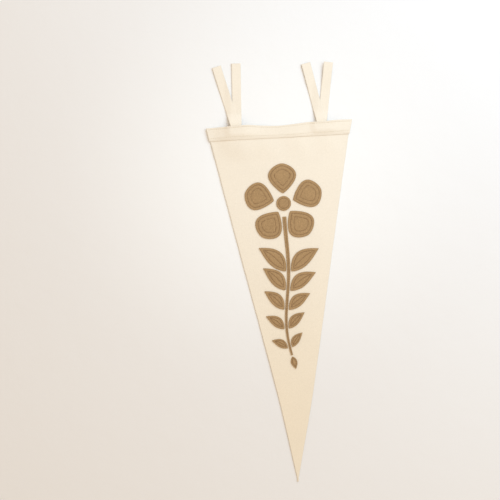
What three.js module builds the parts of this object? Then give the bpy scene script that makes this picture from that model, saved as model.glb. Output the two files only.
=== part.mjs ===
// A felt pennant lying face up on a flat surface, modelled in millimetres with +Z up.
// One long triangle of felt has a strip of the same felt sewn across its wide end.
// Two pairs of felt ties are held between the two, and a motif of felt pieces is laid on the front.
// Plan: x = 0, y = 0 is the middle of the heading's upper edge, +Y runs towards the free ends of
// the ties, and the pennant's tip points along -Y.
import * as THREE from 'three';

// Felt thicknesses, and the air between one layer and the next
const PENNANT_THICK = 1.5;
const HEADING_THICK = 1.4;
const TIE_THICK = 1.2;
const MOTIF_THICK = 1.2;
const LAYER_GAP = 0.3;

// The pennant: its reach below y = 0, how fast its half width grows from the tip, its blunt end,
// and how far its wide end stays inside the heading's upper edge
const PENNANT_LENGTH = 563;
const HALF_WIDTH_PER_MM = 0.2015;
const TIP_WIDTH = 2.4;
const PENNANT_INSET = 1;

// The heading: its depth, and how far its ends reach past the pennant's edges, on the right
// at its upper and at its lower corner
const HEADING_DEPTH = 21.6;
const LEFT_REACH = 1.3;
const RIGHT_REACH = 2.4;
const RIGHT_REACH_BELOW = 1;

// The ties: their width, and where their roots end under the heading
const TIE_WIDTH = 14.5;
const ROOT_Y = -8.5;

// Where the pennant's middle line runs, from its wide end to its tip
const MIDDLE_LINE = [
  { y: 0, x: -0.8 },
  { y: -110, x: -0.4 },
  { y: -220, x: 0.3 },
  { y: -330, x: 1.4 },
  { y: -440, x: 1.7 },
  { y: -505, x: 0 },
  { y: -563, x: -1.8 },
];

// The slightly wavy upper edge of the heading
const UPPER_EDGE = [
  { x: -116, y: -0.5 },
  { x: -85, y: 0 },
  { x: -50, y: 0.9 },
  { x: -28, y: -1.1 },
  { x: -2, y: -2.6 },
  { x: 27, y: -0.9 },
  { x: 47, y: 0.5 },
  { x: 68, y: 0.3 },
  { x: 93, y: 1.5 },
  { x: 116, y: 1 },
];

// The ties. layer 0 lies on the pennant, and layer 1 crosses over it. A free end rises by lift,
// starting liftStart before the end and taking liftRun to do so.
const TIES = [
  { name: 'tie_left_upper', pair: 'left', layer: 1, rootX: -67, endX: -93.7, endY: 95.6,
    lift: 0.6, liftStart: 46, liftRun: 24 },
  { name: 'tie_left_lower', pair: 'left', layer: 0, rootX: -66.8, endX: -62.4, endY: 99.1,
    lift: 0.5, liftStart: 40, liftRun: 40 },
  { name: 'tie_right_upper', pair: 'right', layer: 1, rootX: 67.8, endX: 47, endY: 93.3,
    lift: 1.1, liftStart: 52, liftRun: 30 },
  { name: 'tie_right_lower', pair: 'right', layer: 0, rootX: 66.6, endX: 82.6, endY: 92.9,
    lift: 3, liftStart: 44, liftRun: 44 },
];

// How a layer comes down beside what it lies on: the level margin, then the slope, which is
// longer on the right of a tie
const CROSSING_MARGIN = 1.2;
const CROSSING_SLOPE_LEFT = 13;
const CROSSING_SLOPE_RIGHT = 34;
const DROP_MARGIN = 1.5;
const DROP_SLOPE = 20;
const SEAM_LEVEL_Y = -10.8;
const SEAM_FLAT_Y = -21.2;

// The hump in the cloth round the left pair of ties: where it begins and ends on the left, on
// the right and towards the tip
const HUMP_HEIGHT = 3;
const HUMP_LEFT = { from: -108, to: -78 };
const HUMP_RIGHT = { from: 0, to: -64 };
const HUMP_BELOW = { from: -60, to: -18 };

// The soft ripples below the heading
const RIPPLE_HEIGHT = 0.7;
const RIPPLE_PITCH = 48;
const RIPPLE_MIDDLE_Y = -35;
const RIPPLE_HALF_LENGTH = 28;
const RIPPLE_SHIFT = 8;

// The motif's flower, as petals round a disc
const PETALS = 5;
const FLOWER_Y = -125;
const PETAL_START = 16;
const PETAL_LENGTH = 47;
const PETAL_HALF_WIDTH = 22;
const FLOWER_CENTRE_RADIUS = 11.5;

// The motif's stem, with leaves in pairs that get smaller towards the tip, and a bud at its end.
// FIRST_LEAF, LEAF_PITCH and LEAF_SHRINK are shares of the stem's length and of the first leaf.
const STEM_TOP_Y = -146;
const STEM_BOTTOM_Y = -364;
const STEM_SWAY = 8;
const STEM_TOP_WIDTH = 6;
const STEM_BOTTOM_WIDTH = 3.2;
const LEAF_PAIRS = 5;
const LEAF_LENGTH = 56;
const LEAF_HALF_WIDTH = 12.5;
const LEAF_SHRINK = 0.125;
const FIRST_LEAF = 0.41;
const LEAF_PITCH = 0.137;
const LEAF_ANGLE = THREE.MathUtils.degToRad(50);
const LEAF_CURVE = 0.08;
const LEAF_GAP = 2.4;
const BUD_LENGTH = 20;
const BUD_HALF_WIDTH = 5;

// The two outlines of the motif pieces: belly shifts the widest place, blunt rounds the ends
const PETAL_OUTLINE = { belly: 1.35, blunt: 0.6 };
const LEAF_OUTLINE = { belly: 0.85, blunt: 0.95 };

// How finely the shapes are divided: steps in millimetres, then counts
const LEVEL_STEP = 34;
const RIPPLE_STEP = 6.5;
const SIDE_STEP = 5;
const CROSSING_STEP = 2.2;
const SEAM_STEP = 1.75;
const FREE_STEP = 5;
const CROSSING_ZONE = { from: 44, to: 94 };
const OUTLINE_STEPS = 12;
const STEM_STEPS = 24;
const CENTRE_STEPS = 28;

const CREAM_FELT = new THREE.MeshStandardMaterial({
  name: 'cream felt',
  color: 0xf3e6d0,
  roughness: 1,
  metalness: 0,
});
const TAN_FELT = new THREE.MeshStandardMaterial({
  name: 'tan felt',
  color: 0xae8c64,
  roughness: 1,
  metalness: 0,
});

// A soft step from 0 to 1
function ease(t) {
  return THREE.MathUtils.smoothstep(t, 0, 1);
}

// The value of a table's column at a place between its rows, on a smooth curve through them
function between(rows, along, column, place) {
  const sign = Math.sign(rows[1][along] - rows[0][along]);
  let i = 0;
  while (i < rows.length - 2 && (rows[i + 1][along] - place) * sign < 0) {
    i += 1;
  }
  const span = rows[i + 1][along] - rows[i][along];
  const t = THREE.MathUtils.clamp((place - rows[i][along]) / span, 0, 1);
  const slope = (k) => {
    const before = rows[Math.max(k - 1, 0)];
    const after = rows[Math.min(k + 1, rows.length - 1)];
    return (after[column] - before[column]) / (after[along] - before[along]);
  };
  const rise = rows[i + 1][column] - rows[i][column];
  const bend = (1 - t) * (slope(i) * span - rise) - t * (slope(i + 1) * span - rise);
  return rows[i][column] + t * rise + t * (1 - t) * bend;
}

// Places from start, in zones of { to, step }, each zone divided evenly
function stations(start, zones) {
  const places = [start];
  let from = start;
  for (const { to, step } of zones) {
    const count = Math.ceil(Math.abs(to - from) / step);
    for (let i = 1; i <= count; i += 1) {
      places.push(from + ((to - from) * i) / count);
    }
    from = to;
  }
  return places;
}

// Plan of the pennant and its heading
const middleX = (y) => between(MIDDLE_LINE, 'y', 'x', y);
const halfWidth = (y) => Math.max(HALF_WIDTH_PER_MM * (PENNANT_LENGTH + y), TIP_WIDTH / 2);
const upperEdge = (x) => between(UPPER_EDGE, 'x', 'y', x);

// A soft step across a zone, from 0 at its from to 1 at its to
const easeAcross = ({ from, to }, place) => ease((place - from) / (to - from));

// The underside of the pennant: level, but for the hump and the ripples
function pennantLift(x, y) {
  const hump = easeAcross(HUMP_LEFT, x) * easeAcross(HUMP_RIGHT, x) * easeAcross(HUMP_BELOW, y);
  const fade = 1 - ease(Math.abs(y - RIPPLE_MIDDLE_Y) / RIPPLE_HALF_LENGTH);
  const wave = (1 - Math.cos((2 * Math.PI * (x - RIPPLE_SHIFT)) / RIPPLE_PITCH)) / 2;
  return HUMP_HEIGHT * hump + RIPPLE_HEIGHT * wave * fade;
}

const onPennant = (x, y) => pennantLift(x, y) + PENNANT_THICK + LAYER_GAP;

// A tie's straight middle line, as its root, its direction and its length
function tieLine(tie) {
  const root = new THREE.Vector2(tie.rootX, ROOT_Y);
  const span = new THREE.Vector2(tie.endX, tie.endY).sub(root);
  return { root, length: span.length(), way: span.clone().normalize() };
}

// How much a layer above a tie is held up at a place: 1 over the tie, 0 past the slope beside it
function crossing(tie, x, y) {
  const { root, way } = tieLine(tie);
  const aside = (x - root.x) * way.y - (y - root.y) * way.x;
  const slope = aside < 0 ? CROSSING_SLOPE_LEFT : CROSSING_SLOPE_RIGHT;
  return 1 - ease((Math.abs(aside) - TIE_WIDTH / 2 - CROSSING_MARGIN) / slope);
}

const lowerPartner = (tie) => TIES.find((other) => other.pair === tie.pair && other.layer === 0);

// The underside of a tie: on the pennant, down to the surface past its edge, over its partner,
// and up again at the free end
function tieLift(tie, x, y, along) {
  const past = y - (upperEdge(x) - PENNANT_INSET) - DROP_MARGIN;
  const base = onPennant(x, y) * (1 - ease(past / DROP_SLOPE));
  const over = tie.layer === 1 ? crossing(lowerPartner(tie), x, y) * (TIE_THICK + LAYER_GAP) : 0;
  const toEnd = tieLine(tie).length - along;
  return base + over + tie.lift * ease((tie.liftStart - toEnd) / tie.liftRun);
}

// The underside of the heading: on the pennant, and over the roots of the ties
function headingLift(x, y) {
  const held = ease((y - SEAM_FLAT_Y) / (SEAM_LEVEL_Y - SEAM_FLAT_Y));
  const layers = TIES.reduce((sum, tie) => sum + crossing(tie, x, y), 0);
  return onPennant(x, y) + layers * held * (TIE_THICK + LAYER_GAP);
}

// The indices round the border of a grid of columns by rows, anticlockwise from its first corner
function rimOf(columns, rows) {
  const rim = [];
  for (let column = 0; column < columns - 1; column += 1) {
    rim.push(column);
  }
  for (let row = 0; row < rows - 1; row += 1) {
    rim.push(row * columns + columns - 1);
  }
  for (let column = columns - 1; column > 0; column -= 1) {
    rim.push((rows - 1) * columns + column);
  }
  for (let row = rows - 1; row > 0; row -= 1) {
    rim.push(row * columns);
  }
  return rim;
}

// A closed sheet of cream felt. place(a, b) gives the underside's point for each pair of
// stations, with a running to the right of b, and the upper side is straight above it.
function sheet(name, rightStations, forwardStations, thick, place) {
  const columns = rightStations.length;
  const rows = forwardStations.length;
  const upper = columns * rows;
  const positions = [];
  for (const height of [0, thick]) {
    for (const forward of forwardStations) {
      for (const right of rightStations) {
        const { x, y, z } = place(right, forward);
        positions.push(x, y, z + height);
      }
    }
  }
  const index = [];
  for (let row = 0; row < rows - 1; row += 1) {
    for (let column = 0; column < columns - 1; column += 1) {
      const a = row * columns + column;
      const b = a + 1;
      const c = b + columns;
      const d = a + columns;
      index.push(a, c, b, a, d, c);
      index.push(upper + a, upper + b, upper + c, upper + a, upper + c, upper + d);
    }
  }
  const rim = rimOf(columns, rows);
  rim.forEach((a, i) => {
    const b = rim[(i + 1) % rim.length];
    index.push(a, b, upper + b, a, upper + b, upper + a);
  });
  const geometry = new THREE.BufferGeometry();
  geometry.setAttribute('position', new THREE.Float32BufferAttribute(positions, 3));
  geometry.setIndex(index);
  geometry.computeVertexNormals();
  const mesh = new THREE.Mesh(geometry, CREAM_FELT);
  mesh.name = name;
  return mesh;
}

// The triangle of felt, from its tip to its wide end, which follows the heading's upper edge
function pennant() {
  const across = stations(-1, [{ to: 1, step: SIDE_STEP / halfWidth(0) }]);
  const up = stations(-PENNANT_LENGTH, [
    { to: RIPPLE_MIDDLE_Y - RIPPLE_HALF_LENGTH, step: LEVEL_STEP },
    { to: -PENNANT_INSET, step: RIPPLE_STEP },
  ]);
  return sheet('pennant', across, up, PENNANT_THICK, (side, level) => {
    const x = middleX(level) + side * halfWidth(level);
    const y = level + upperEdge(x) * ease(1 + level / HEADING_DEPTH);
    return { x, y, z: pennantLift(x, y) };
  });
}

// The strip across the wide end, with close stations where it rides over the ties
function heading() {
  const end = halfWidth(0);
  const across = stations(-end, [
    { to: -CROSSING_ZONE.to, step: RIPPLE_STEP },
    { to: -CROSSING_ZONE.from, step: CROSSING_STEP },
    { to: CROSSING_ZONE.from, step: SIDE_STEP },
    { to: CROSSING_ZONE.to, step: CROSSING_STEP },
    { to: end, step: RIPPLE_STEP },
  ]);
  const up = stations(-HEADING_DEPTH, [
    { to: SEAM_LEVEL_Y, step: SEAM_STEP },
    { to: 0, step: 2 * SEAM_STEP },
  ]);
  return sheet('heading', across, up, HEADING_THICK, (place, level) => {
    const side = place / end;
    const right = THREE.MathUtils.lerp(RIGHT_REACH_BELOW, RIGHT_REACH, 1 + level / HEADING_DEPTH);
    const reach = side < 0 ? LEFT_REACH : right;
    const x = middleX(level) + side * (halfWidth(level) + reach);
    const y = level + upperEdge(x) * (1 + level / HEADING_DEPTH);
    return { x, y, z: headingLift(x, y) };
  });
}

// One tie, from its root under the heading to its square-cut free end, with close stations
// where it comes down from the pennant
function tieStrip(tie) {
  const { root, way, length } = tieLine(tie);
  const across = stations(-TIE_WIDTH / 2, [
    { to: TIE_WIDTH / 2, step: tie.layer === 1 ? CROSSING_STEP : FREE_STEP },
  ]);
  const up = stations(0, [
    { to: -ROOT_Y - 2 * CROSSING_STEP, step: FREE_STEP },
    { to: DROP_MARGIN + DROP_SLOPE - ROOT_Y, step: CROSSING_STEP },
    { to: length, step: FREE_STEP },
  ]);
  return sheet(tie.name, across, up, TIE_THICK, (aside, along) => {
    const x = root.x + way.x * along + way.y * aside;
    const y = root.y + way.y * along - way.x * aside;
    return { x, y, z: tieLift(tie, x, y, along) };
  });
}

// The outline of a petal or leaf that starts at the origin and points along +X. Its half width
// is a sine arch, skewed by belly and rounded by blunt, and curve bends its middle line sideways.
function bladeShape(length, half, { belly, blunt }, curve = 0) {
  const side = (sign) => stations(0, [{ to: 1, step: 1 / OUTLINE_STEPS }]).map((turn) => {
    const t = (1 - Math.cos(Math.PI * turn)) / 2;
    const width = half * Math.max(Math.sin(Math.PI * t ** belly), 0) ** blunt;
    return new THREE.Vector2(length * t, 4 * curve * length * t * (1 - t) + sign * width);
  });
  const right = side(-1);
  const left = side(1).slice(1, -1).reverse();
  return new THREE.Shape([...right, ...left]);
}

// A flat cut-out of the motif, as thick as its felt
function cutOut(name, shape, segments = OUTLINE_STEPS) {
  const geometry = new THREE.ExtrudeGeometry(shape, {
    depth: MOTIF_THICK,
    bevelEnabled: false,
    curveSegments: segments,
  });
  const mesh = new THREE.Mesh(geometry, TAN_FELT);
  mesh.name = name;
  return mesh;
}

// The flower: petals set evenly round a disc, the first one pointing along +Y
function flower() {
  const group = new THREE.Group();
  for (let i = 0; i < PETALS; i += 1) {
    const angle = Math.PI / 2 + (2 * Math.PI * i) / PETALS;
    const shape = bladeShape(PETAL_LENGTH, PETAL_HALF_WIDTH, PETAL_OUTLINE);
    const petal = cutOut(`petal_${i + 1}`, shape);
    petal.position.set(PETAL_START * Math.cos(angle), PETAL_START * Math.sin(angle), 0);
    petal.rotation.z = angle;
    group.add(petal);
  }
  const disc = new THREE.Shape().absarc(0, 0, FLOWER_CENTRE_RADIUS, 0, 2 * Math.PI);
  group.add(cutOut('flower_centre', disc, CENTRE_STEPS));
  group.position.y = FLOWER_Y;
  return group;
}

// The stem's middle line at t from its top: straight down at first, then a growing sway
function stemPoint(t) {
  const y = THREE.MathUtils.lerp(STEM_TOP_Y, STEM_BOTTOM_Y, t);
  return new THREE.Vector2(STEM_SWAY * t * Math.sin(2 * Math.PI * t), y);
}

// The stem's direction at t, towards the tip
function stemWay(t) {
  const step = 0.001;
  return stemPoint(t + step).sub(stemPoint(t - step)).normalize();
}

const stemWidth = (t) => THREE.MathUtils.lerp(STEM_TOP_WIDTH, STEM_BOTTOM_WIDTH, t);

// The stem: a narrow strip that tapers along its middle line
function stem() {
  const places = stations(0, [{ to: 1, step: 1 / STEM_STEPS }]);
  const edge = (sign) => places.map((t) => {
    const way = stemWay(t);
    const aside = new THREE.Vector2(-way.y, way.x).multiplyScalar((sign * stemWidth(t)) / 2);
    return stemPoint(t).add(aside);
  });
  return cutOut('stem', new THREE.Shape([...edge(-1), ...edge(1).reverse()]));
}

// A leaf that grows from the stem at t, pointing up and out to one side (+1 right, -1 left)
function leaf(name, t, side, size) {
  const up = stemWay(t).negate();
  const angle = Math.atan2(up.y, up.x) - side * LEAF_ANGLE;
  const curve = side * LEAF_CURVE;
  const shape = bladeShape(LEAF_LENGTH * size, LEAF_HALF_WIDTH * size, LEAF_OUTLINE, curve);
  const mesh = cutOut(name, shape);
  const clear = stemWidth(t) / 2 / Math.sin(LEAF_ANGLE) + LEAF_GAP;
  const from = stemPoint(t);
  mesh.position.set(from.x + clear * Math.cos(angle), from.y + clear * Math.sin(angle), 0);
  mesh.rotation.z = angle;
  return mesh;
}

// The sprig: the stem, its leaves in pairs, and a bud past its end
function sprig() {
  const group = new THREE.Group();
  group.add(stem());
  for (let pair = 0; pair < LEAF_PAIRS; pair += 1) {
    const t = FIRST_LEAF + LEAF_PITCH * pair;
    const size = 1 - LEAF_SHRINK * pair;
    group.add(leaf(`leaf_left_${pair + 1}`, t, -1, size));
    group.add(leaf(`leaf_right_${pair + 1}`, t, 1, size));
  }
  const way = stemWay(1);
  const end = stemPoint(1).addScaledVector(way, LEAF_GAP);
  const bud = cutOut('bud', bladeShape(BUD_LENGTH, BUD_HALF_WIDTH, LEAF_OUTLINE));
  bud.position.set(end.x, end.y, 0);
  bud.rotation.z = Math.atan2(way.y, way.x);
  group.add(bud);
  return group;
}

// The whole pennant, moved so that the middle of its box's underside is at the origin
function pennantFlag() {
  const motif = new THREE.Group();
  motif.add(flower(), sprig());
  motif.position.z = PENNANT_THICK + LAYER_GAP;
  const whole = new THREE.Group();
  whole.add(pennant(), heading(), ...TIES.map(tieStrip), motif);
  const middle = new THREE.Box3().setFromObject(whole).getCenter(new THREE.Vector3());
  whole.position.set(-middle.x, -middle.y, 0);
  const part = new THREE.Group();
  part.add(whole);
  return part;
}

export default pennantFlag();
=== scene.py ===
"""A cream felt pennant with a sewn heading, two pairs of felt ties and a tan felt motif.

The plan is worked out in millimetres: x = 0, y = 0 is the middle of the heading's upper edge, +y
runs towards the free ends of the ties, and the pennant's tip points along -y. Every piece is a
grid of points in that plan with a height above the surface that the pennant lies on, and Plan
moves it into the frame of the solids, in metres.
"""

import logging
import math
from dataclasses import dataclass, field
from enum import Enum
from typing import Callable, Sequence

import bmesh
import bpy
import numpy as np
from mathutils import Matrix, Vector

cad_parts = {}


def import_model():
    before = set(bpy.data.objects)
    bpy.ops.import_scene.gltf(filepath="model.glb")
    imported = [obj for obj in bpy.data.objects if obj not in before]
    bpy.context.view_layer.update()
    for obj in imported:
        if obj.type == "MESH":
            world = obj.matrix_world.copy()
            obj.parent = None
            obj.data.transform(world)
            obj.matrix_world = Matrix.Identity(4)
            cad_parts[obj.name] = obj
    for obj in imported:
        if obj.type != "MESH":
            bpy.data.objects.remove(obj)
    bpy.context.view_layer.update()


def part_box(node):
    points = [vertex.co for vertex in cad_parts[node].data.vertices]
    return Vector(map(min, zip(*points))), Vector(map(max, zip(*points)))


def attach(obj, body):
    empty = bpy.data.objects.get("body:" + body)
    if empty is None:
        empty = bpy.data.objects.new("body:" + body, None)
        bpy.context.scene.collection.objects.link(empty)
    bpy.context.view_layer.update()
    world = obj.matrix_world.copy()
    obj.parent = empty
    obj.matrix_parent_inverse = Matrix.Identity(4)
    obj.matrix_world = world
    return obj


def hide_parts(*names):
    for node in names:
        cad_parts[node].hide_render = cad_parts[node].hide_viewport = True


Array = np.ndarray
Colour = tuple[float, float, float]

LOG = logging.getLogger("pennant")
MM = 0.001

# How far in from a cut edge the first grid lines lie, and how far to the sides of a row of
# stitches those beside it lie, in millimetres
EDGE_LINES = np.array([0.0, 0.04, 0.13, 0.28, 0.55])
SEAM_LINES = np.array([-0.9, -0.5, -0.2, 0.1, 0.4, 0.8])

# The share of a narrow strip's half width that close lines may take
CLOSE_SHARE = 0.6

# How a hand-cut edge wanders: the length of each wave in millimetres, and its share of the size
CUT_WAVES = ((61.0, 0.5), (23.0, 0.3), (9.5, 0.2))

# The least side given for a sheet's flat size, in millimetres
LEAST_SIDE = 10.01


class Side(Enum):
    """The side of the cloth that a run of stitches lies on, as the direction away from it."""

    FRONT = 1.0
    BACK = -1.0


class Layer(Enum):
    """Which of a pair's two ties this one is: the one on the pennant, or the one across it."""

    LOWER = 0
    UPPER = 1


def ease(t: Array) -> Array:
    """A soft step from 0 to 1: three squares of t less two cubes, with t held from 0 to 1."""
    held = np.clip(t, 0.0, 1.0)
    return held * held * (3.0 - 2.0 * held)


def ease_across(zone: tuple[float, float], place: Array) -> Array:
    """A soft step from 0 at the zone's first place to 1 at its second."""
    return ease((place - zone[0]) / (zone[1] - zone[0]))


def between(rows: Sequence[tuple[float, float]], place: Array) -> Array:
    """The height of a smooth curve through a table's rows at each place.

    Between two rows it is the cubic whose slope at each row is that from the row before to the
    row after.

    Args:
        rows: places and heights, in rising or falling order of place.
        place: where the curve is wanted.

    Returns:
        The curve's height at each place.
    """
    table = np.array(sorted(rows), float)
    at, height = table[:, 0], table[:, 1]
    before = np.maximum(np.arange(len(at)) - 1, 0)
    after = np.minimum(np.arange(len(at)) + 1, len(at) - 1)
    slope = (height[after] - height[before]) / (at[after] - at[before])
    held = np.clip(place, at[0], at[-1])
    i = np.clip(np.searchsorted(at, held, side="right") - 1, 0, len(at) - 2)
    span = at[i + 1] - at[i]
    t = (held - at[i]) / span
    rise = height[i + 1] - height[i]
    bend = (1 - t) * (slope[i] * span - rise) - t * (slope[i + 1] * span - rise)
    return height[i] + t * rise + t * (1 - t) * bend


def stations(start: float, *zones: tuple[float, float]) -> Array:
    """Places from start, in zones of (end, step), each zone divided evenly."""
    places = [np.array([start])]
    for end, step in zones:
        count = max(int(math.ceil(abs(end - places[-1][-1]) / step)), 1)
        places.append(np.linspace(places[-1][-1], end, count + 1)[1:])
    return np.concatenate(places)


def rows_between(start: float, end: float, step: float, *zones: tuple[float, float]) -> Array:
    """Rows of a grid from one cut edge to the other, close together at both.

    Args:
        start: the first row's place.
        end: the last row's place.
        step: how far apart the rows are.
        zones: stretches before that with their own steps, as (end, step).

    Returns:
        The rows' places, (rows, 1).
    """
    edge = EDGE_LINES[-1]
    inner = stations(start + edge, *zones, (end - edge, step))
    return np.concatenate([start + EDGE_LINES, inner[1:], (end - EDGE_LINES[::-1])[1:]])[:, None]


def distance_to(path: Array, x: Array, y: Array) -> Array:
    """How far each point of a grid is from the nearest stretch of a path in plan.

    Args:
        path: the path's corners, (n, 2).
        x: the grid's places across.
        y: the grid's places along.

    Returns:
        The distances, in the grid's shape.
    """
    start, span = path[:-1], np.diff(path, axis=0)
    length = np.maximum((span**2).sum(axis=1), 1e-12)
    points = np.stack([x.ravel(), y.ravel()], axis=1)[:, None, :]
    t = np.clip(((points - start) * span).sum(axis=2) / length, 0.0, 1.0)
    away = points - (start + t[:, :, None] * span)
    return np.sqrt((away**2).sum(axis=2)).min(axis=1).reshape(x.shape)


@dataclass(frozen=True)
class TieLine:
    """One tie's middle line in plan, and how its free end rises.

    lift is how far the free end rises, lift_start how far before the end that begins, and
    lift_run the length that it takes.
    """

    name: str
    pair: str
    layer: Layer
    root_x: float
    end: tuple[float, float]
    lift: float
    lift_start: float
    lift_run: float
    root_y: float = -8.5

    @property
    def root(self) -> Array:
        """The middle of the tie's root, under the heading."""
        return np.array([self.root_x, self.root_y])

    @property
    def length(self) -> float:
        """The tie's whole length."""
        return float(np.linalg.norm(np.array(self.end) - self.root))

    @property
    def way(self) -> Array:
        """The tie's direction, from its root to its free end."""
        return (np.array(self.end) - self.root) / self.length

    def aside(self, x: Array, y: Array) -> Array:
        """How far each place is from the middle line, along the right of the tie's direction."""
        return (x - self.root[0]) * self.way[1] - (y - self.root[1]) * self.way[0]


TIE_LINES = (
    TieLine("tie_left_lower", "left", Layer.LOWER, -66.8, (-62.4, 99.1), 0.5, 40.0, 40.0),
    TieLine("tie_left_upper", "left", Layer.UPPER, -67.0, (-93.7, 95.6), 0.6, 46.0, 24.0),
    TieLine("tie_right_lower", "right", Layer.LOWER, 66.6, (82.6, 92.9), 3.0, 44.0, 44.0),
    TieLine("tie_right_upper", "right", Layer.UPPER, 67.8, (47.0, 93.3), 1.1, 52.0, 30.0),
)


@dataclass(frozen=True)
class Plan:
    """How the cut pieces lie on each other, in millimetres, with the offset to the solids' frame."""

    offset: tuple[float, float]
    length: float = 563.0
    half_width_per_mm: float = 0.2015
    tip_half_width: float = 1.2
    inset: float = 1.0
    heading_depth: float = 21.6
    left_reach: float = 1.3
    right_reach: float = 2.4
    right_reach_below: float = 1.0
    tie_width: float = 14.5
    pennant_thick: float = 1.5
    heading_thick: float = 1.4
    tie_thick: float = 1.2
    root_thick: float = 0.75
    root_zone: tuple[float, float] = (-5.0, 4.0)
    layer_gap: float = 0.14
    motif_thick: float = 1.2
    gap: float = 0.3
    crossing_margin: float = 1.2
    crossing_slope_left: float = 13.0
    crossing_slope_right: float = 34.0
    drop_margin: float = 1.5
    drop_slope: float = 20.0
    seam_level_y: float = -10.8
    seam_flat_y: float = -21.2
    hump_height: float = 3.0
    hump_left: tuple[float, float] = (-108.0, -78.0)
    hump_right: tuple[float, float] = (0.0, -64.0)
    hump_below: tuple[float, float] = (-60.0, -18.0)
    ripple_height: float = 0.7
    ripple_pitch: float = 48.0
    ripple_middle_y: float = -35.0
    ripple_half_length: float = 28.0
    ripple_shift: float = 8.0
    back_depth: float = 0.4
    motif_sink: float = 0.12
    swell: float = 0.16
    swell_across: float = 118.0
    swell_along: float = 163.0
    swell_shift: tuple[float, float] = (0.9, 0.4)
    swell_slant: float = 90.0
    middle_line: tuple[tuple[float, float], ...] = (
        (0.0, -0.8), (-110.0, -0.4), (-220.0, 0.3), (-330.0, 1.4),
        (-440.0, 1.7), (-505.0, 0.0), (-563.0, -1.8),
    )
    upper_edge_line: tuple[tuple[float, float], ...] = (
        (-116.0, -0.5), (-85.0, 0.0), (-50.0, 0.9), (-28.0, -1.1), (-2.0, -2.6),
        (27.0, -0.9), (47.0, 0.5), (68.0, 0.3), (93.0, 1.5), (116.0, 1.0),
    )

    def middle_x(self, y: Array) -> Array:
        """Where the pennant's middle line runs at each y."""
        return between(self.middle_line, y)

    def half_width(self, y: Array) -> Array:
        """Half the pennant's width at each y: straight edges down to a blunt tip."""
        return np.maximum(self.half_width_per_mm * (self.length + y), self.tip_half_width)

    def upper_edge(self, x: Array) -> Array:
        """The y of the heading's slightly wavy upper edge at each x."""
        return between(self.upper_edge_line, x)

    def lift(self, x: Array, y: Array) -> Array:
        """The pennant's underside: a hump, ripples below the heading and a faint swell.

        The hump round the left pair of ties is a product of three soft steps, the ripples are
        cosine waves across the cloth that fade along it, and the swell is a product of two slow
        sines.
        """
        hump = (ease_across(self.hump_left, x) * ease_across(self.hump_right, x)
                * ease_across(self.hump_below, y))
        fade = 1 - ease(np.abs(y - self.ripple_middle_y) / self.ripple_half_length)
        wave = (1 - np.cos(2 * np.pi * (x - self.ripple_shift) / self.ripple_pitch)) / 2
        slow = np.sin(2 * np.pi * x / self.swell_across + self.swell_shift[0])
        slow = 1 + slow * np.sin(2 * np.pi * y / self.swell_along + self.swell_shift[1]
                                 + x / self.swell_slant)
        return self.hump_height * hump + self.ripple_height * wave * fade + self.swell * slow

    def on_pennant(self, x: Array, y: Array) -> Array:
        """The underside of whatever lies on the pennant."""
        return self.lift(x, y) + self.pennant_thick + self.gap

    def under_motif(self, x: Array, y: Array) -> Array:
        """The underside of the motif, which its stitches draw down to the pennant."""
        return self.on_pennant(x, y) - self.motif_sink

    def crossing(self, tie: TieLine, x: Array, y: Array) -> Array:
        """How much a layer over a tie is held up: 1 over it, 0 past the slope beside it."""
        aside = tie.aside(x, y)
        slope = np.where(aside < 0, self.crossing_slope_left, self.crossing_slope_right)
        return 1 - ease((np.abs(aside) - self.tie_width / 2 - self.crossing_margin) / slope)

    def tie_thick_at(self, y: Array) -> Array:
        """A tie's thickness: pressed thin where it is sewn in, and full from the edge on."""
        return self.root_thick + (self.tie_thick - self.root_thick) * ease_across(self.root_zone, y)

    def tie_lift(self, tie: TieLine, x: Array, y: Array, along: Array) -> Array:
        """A tie's underside: on the pennant, down past its edge, over its partner, up at its end."""
        past = y - (self.upper_edge(x) - self.inset) - self.drop_margin
        height = self.on_pennant(x, y) * (1 - ease(past / self.drop_slope))
        if tie.layer is Layer.UPPER:
            partner = next(t for t in TIE_LINES if t.pair == tie.pair and t.layer is Layer.LOWER)
            height = height + self.crossing(partner, x, y) * (self.tie_thick_at(y) + self.layer_gap)
        to_end = tie.length - along
        return height + tie.lift * ease((tie.lift_start - to_end) / tie.lift_run)

    def heading_lift(self, x: Array, y: Array) -> Array:
        """The heading's underside: on the pennant, and over the roots of the ties."""
        held = ease((y - self.seam_flat_y) / (self.seam_level_y - self.seam_flat_y))
        layers = sum(self.crossing(tie, x, y) for tie in TIE_LINES)
        return self.on_pennant(x, y) + layers * held * (self.tie_thick_at(y) + self.layer_gap)

    def on_back(self, path: Array) -> Array:
        """The same path on the back of the pennant, as deep in the felt as its stitches sit."""
        x, y = path[:, 0], path[:, 1]
        return np.stack([x, y, self.lift(x, y) + self.back_depth], axis=1)

    def place(self, points: Array) -> Array:
        """Points of the plan, in millimetres, moved to the solids' frame, in metres."""
        return points * MM + np.array([self.offset[0], self.offset[1], 0.0])


def plan_from_frame() -> Plan:
    """The plan, with its offset read from the pennant's solid: its box is as wide as the cloth
    at the top, where the middle line is known, and its lowest y is the tip."""
    low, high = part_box("pennant")
    start = Plan(offset=(0.0, 0.0))
    top = -start.inset
    middle = float(start.middle_x(np.array([top]))[0])
    return Plan(offset=((low.x + high.x) / 2 - middle * MM, low.y + start.length * MM))


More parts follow.
